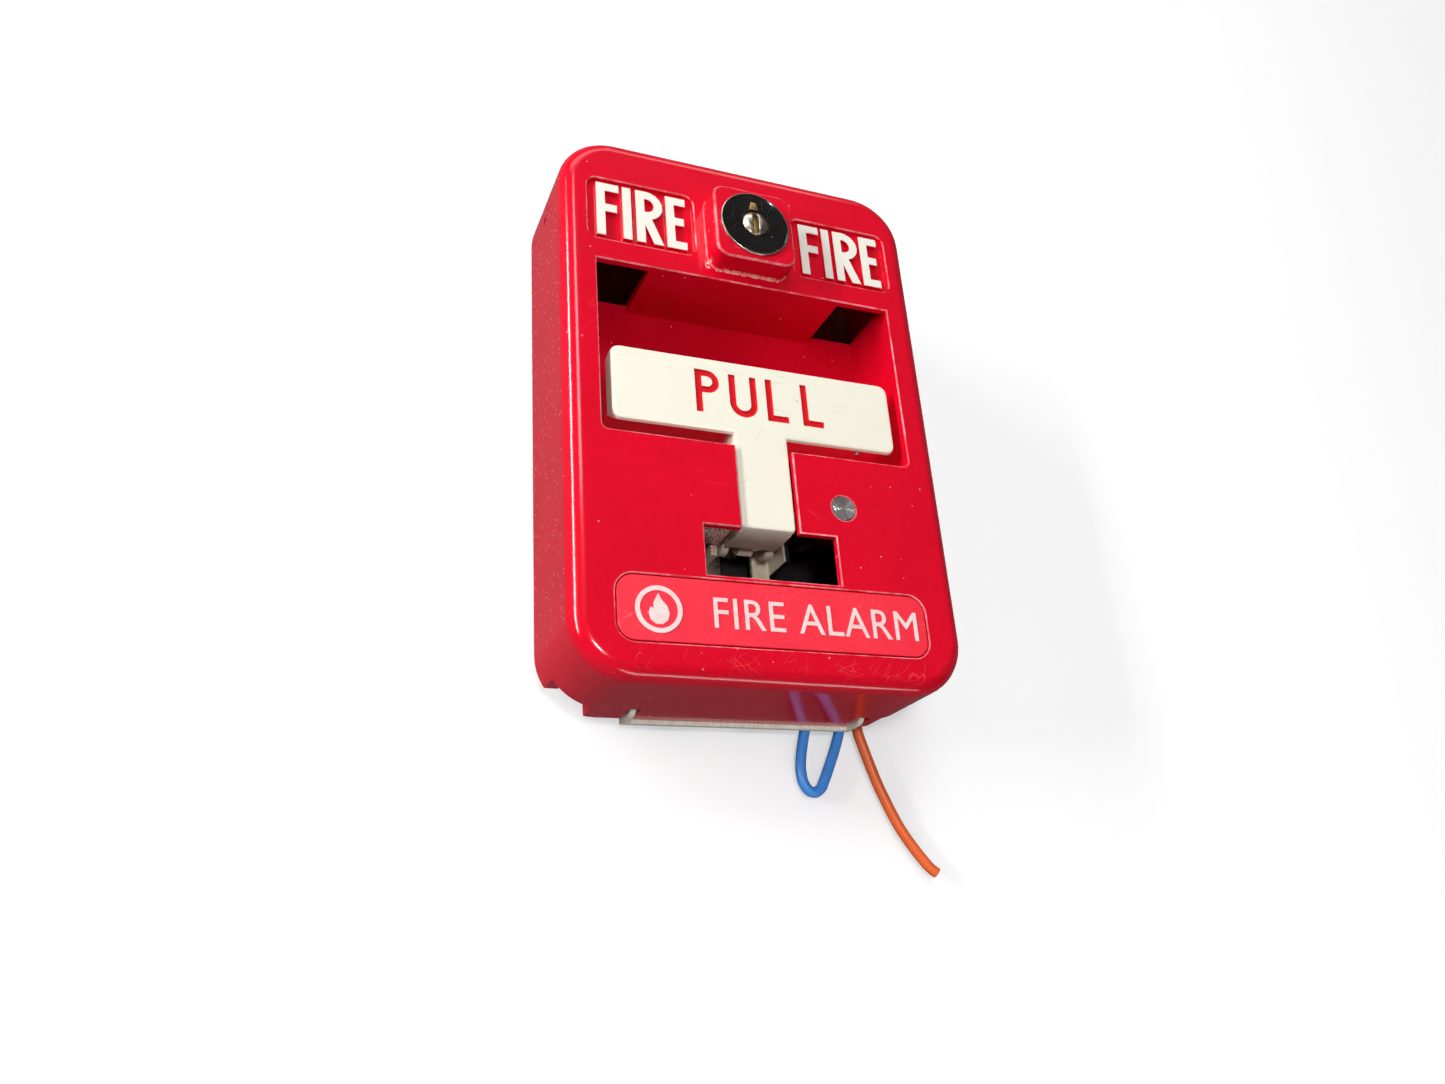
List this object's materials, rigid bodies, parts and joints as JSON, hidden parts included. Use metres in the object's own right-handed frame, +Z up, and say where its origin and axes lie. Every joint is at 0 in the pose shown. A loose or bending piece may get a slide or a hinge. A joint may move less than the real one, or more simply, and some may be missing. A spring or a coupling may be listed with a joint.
{
  "type": "fire alarm pull station",
  "caption": "Wall-mounted fire alarm pull station: red cover hinged on a steel pan, white T-bar handle, key lock, status light, wire loop and wire tail.",
  "frame": {"origin": "centre of the pan's back face, on the wall", "axes": "+Z up, +X to the right of a person facing the station, front towards -Y"},
  "size_m": [0.0878, 0.0382, 0.1532],
  "materials": {
    "red_paint": "gloss enamel, lightly scratched",
    "ivory_paint": "satin powder coat with red-filled engraving",
    "white_paint": "satin white paint on raised letters",
    "label_red": "satin printed label",
    "clear_plastic": "clear moulded",
    "black_plastic": "moulded",
    "white_plastic": "moulded nylon",
    "zinc_steel": "zinc plated and passivated",
    "spring_steel": "rolled",
    "screw_steel": "zinc plated",
    "green_screw": "green dyed screw",
    "chrome": "plated",
    "lock_black": "polished dark face with a bright rim",
    "lock_plug_metal": "worn nickel on brass",
    "brass": "plain",
    "black_wire": "insulation",
    "red_wire": "insulation",
    "blue_wire": "insulation",
    "orange_wire": "insulation"
  },
  "bodies": {
    "mounted": {"mounting_pan": "zinc_steel", "hinge_pin_left": "screw_steel", "hinge_pin_right": "screw_steel", "strike_plate": "zinc_steel", "strike_screw_1": "screw_steel", "strike_screw_2": "screw_steel", "switch_bracket": "zinc_steel", "bracket_screw_1": "screw_steel", "bracket_screw_2": "screw_steel", "switch_body": "black_plastic", "switch_tab_1": "brass", "switch_tab_2": "brass", "switch_screw_1": "screw_steel", "switch_screw_2": "screw_steel", "module_housing": "black_plastic", "module_screw_1": "screw_steel", "module_screw_2": "screw_steel", "led": "clear_plastic", "led_spacer": "white_plastic", "terminal_block": "black_plastic", "terminal_screw_1": "screw_steel", "terminal_screw_2": "screw_steel", "terminal_screw_3": "screw_steel", "terminal_screw_4": "screw_steel", "ground_screw": "green_screw", "switch_lead_black": "black_wire", "switch_lead_red": "red_wire", "blue_wire": "blue_wire", "orange_wire": "orange_wire"},
    "cover": {"cover": "red_paint", "label_plate": "label_red", "status_lens": "clear_plastic", "handle_bracket": "zinc_steel", "detent_spring": "spring_steel", "pivot_pin": "screw_steel", "post_screw_1": "screw_steel", "post_screw_2": "screw_steel", "lock_cylinder": "lock_black", "lock_nut": "chrome"},
    "lock": {"lock_plug": "lock_plug_metal", "lock_cam": "screw_steel", "cam_screw": "screw_steel"},
    "handle": {"pull_handle": "ivory_paint"},
    "switch_lever": {"switch_lever": "spring_steel"}
  },
  "joints": [
    {"name": "cover_hinge", "type": "hinge", "parent": "mounted", "child": "cover", "pos_m": [0, -0.0087, -0.05905], "axis": [1, 0, 0], "range_deg": [0, 90]},
    {"name": "lock_turn", "type": "hinge", "parent": "cover", "child": "lock", "pos_m": [0, -0.02, 0.0407], "axis": [0, 1, 0], "range_deg": [-90, 0]},
    {"name": "handle_pull", "type": "hinge", "parent": "cover", "child": "handle", "pos_m": [0, -0.0177, -0.02602], "axis": [1, 0, 0], "range_deg": [0, 40]},
    {"name": "switch_lever_turn", "type": "hinge", "parent": "mounted", "child": "switch_lever", "pos_m": [0, -0.0101, -0.00415], "axis": [-1, 0, 0], "range_deg": [0, 5]}
  ],
  "couplings": [
    {"joint": "switch_lever_turn", "follows": "handle_pull", "ratio": 0.125}
  ]
}
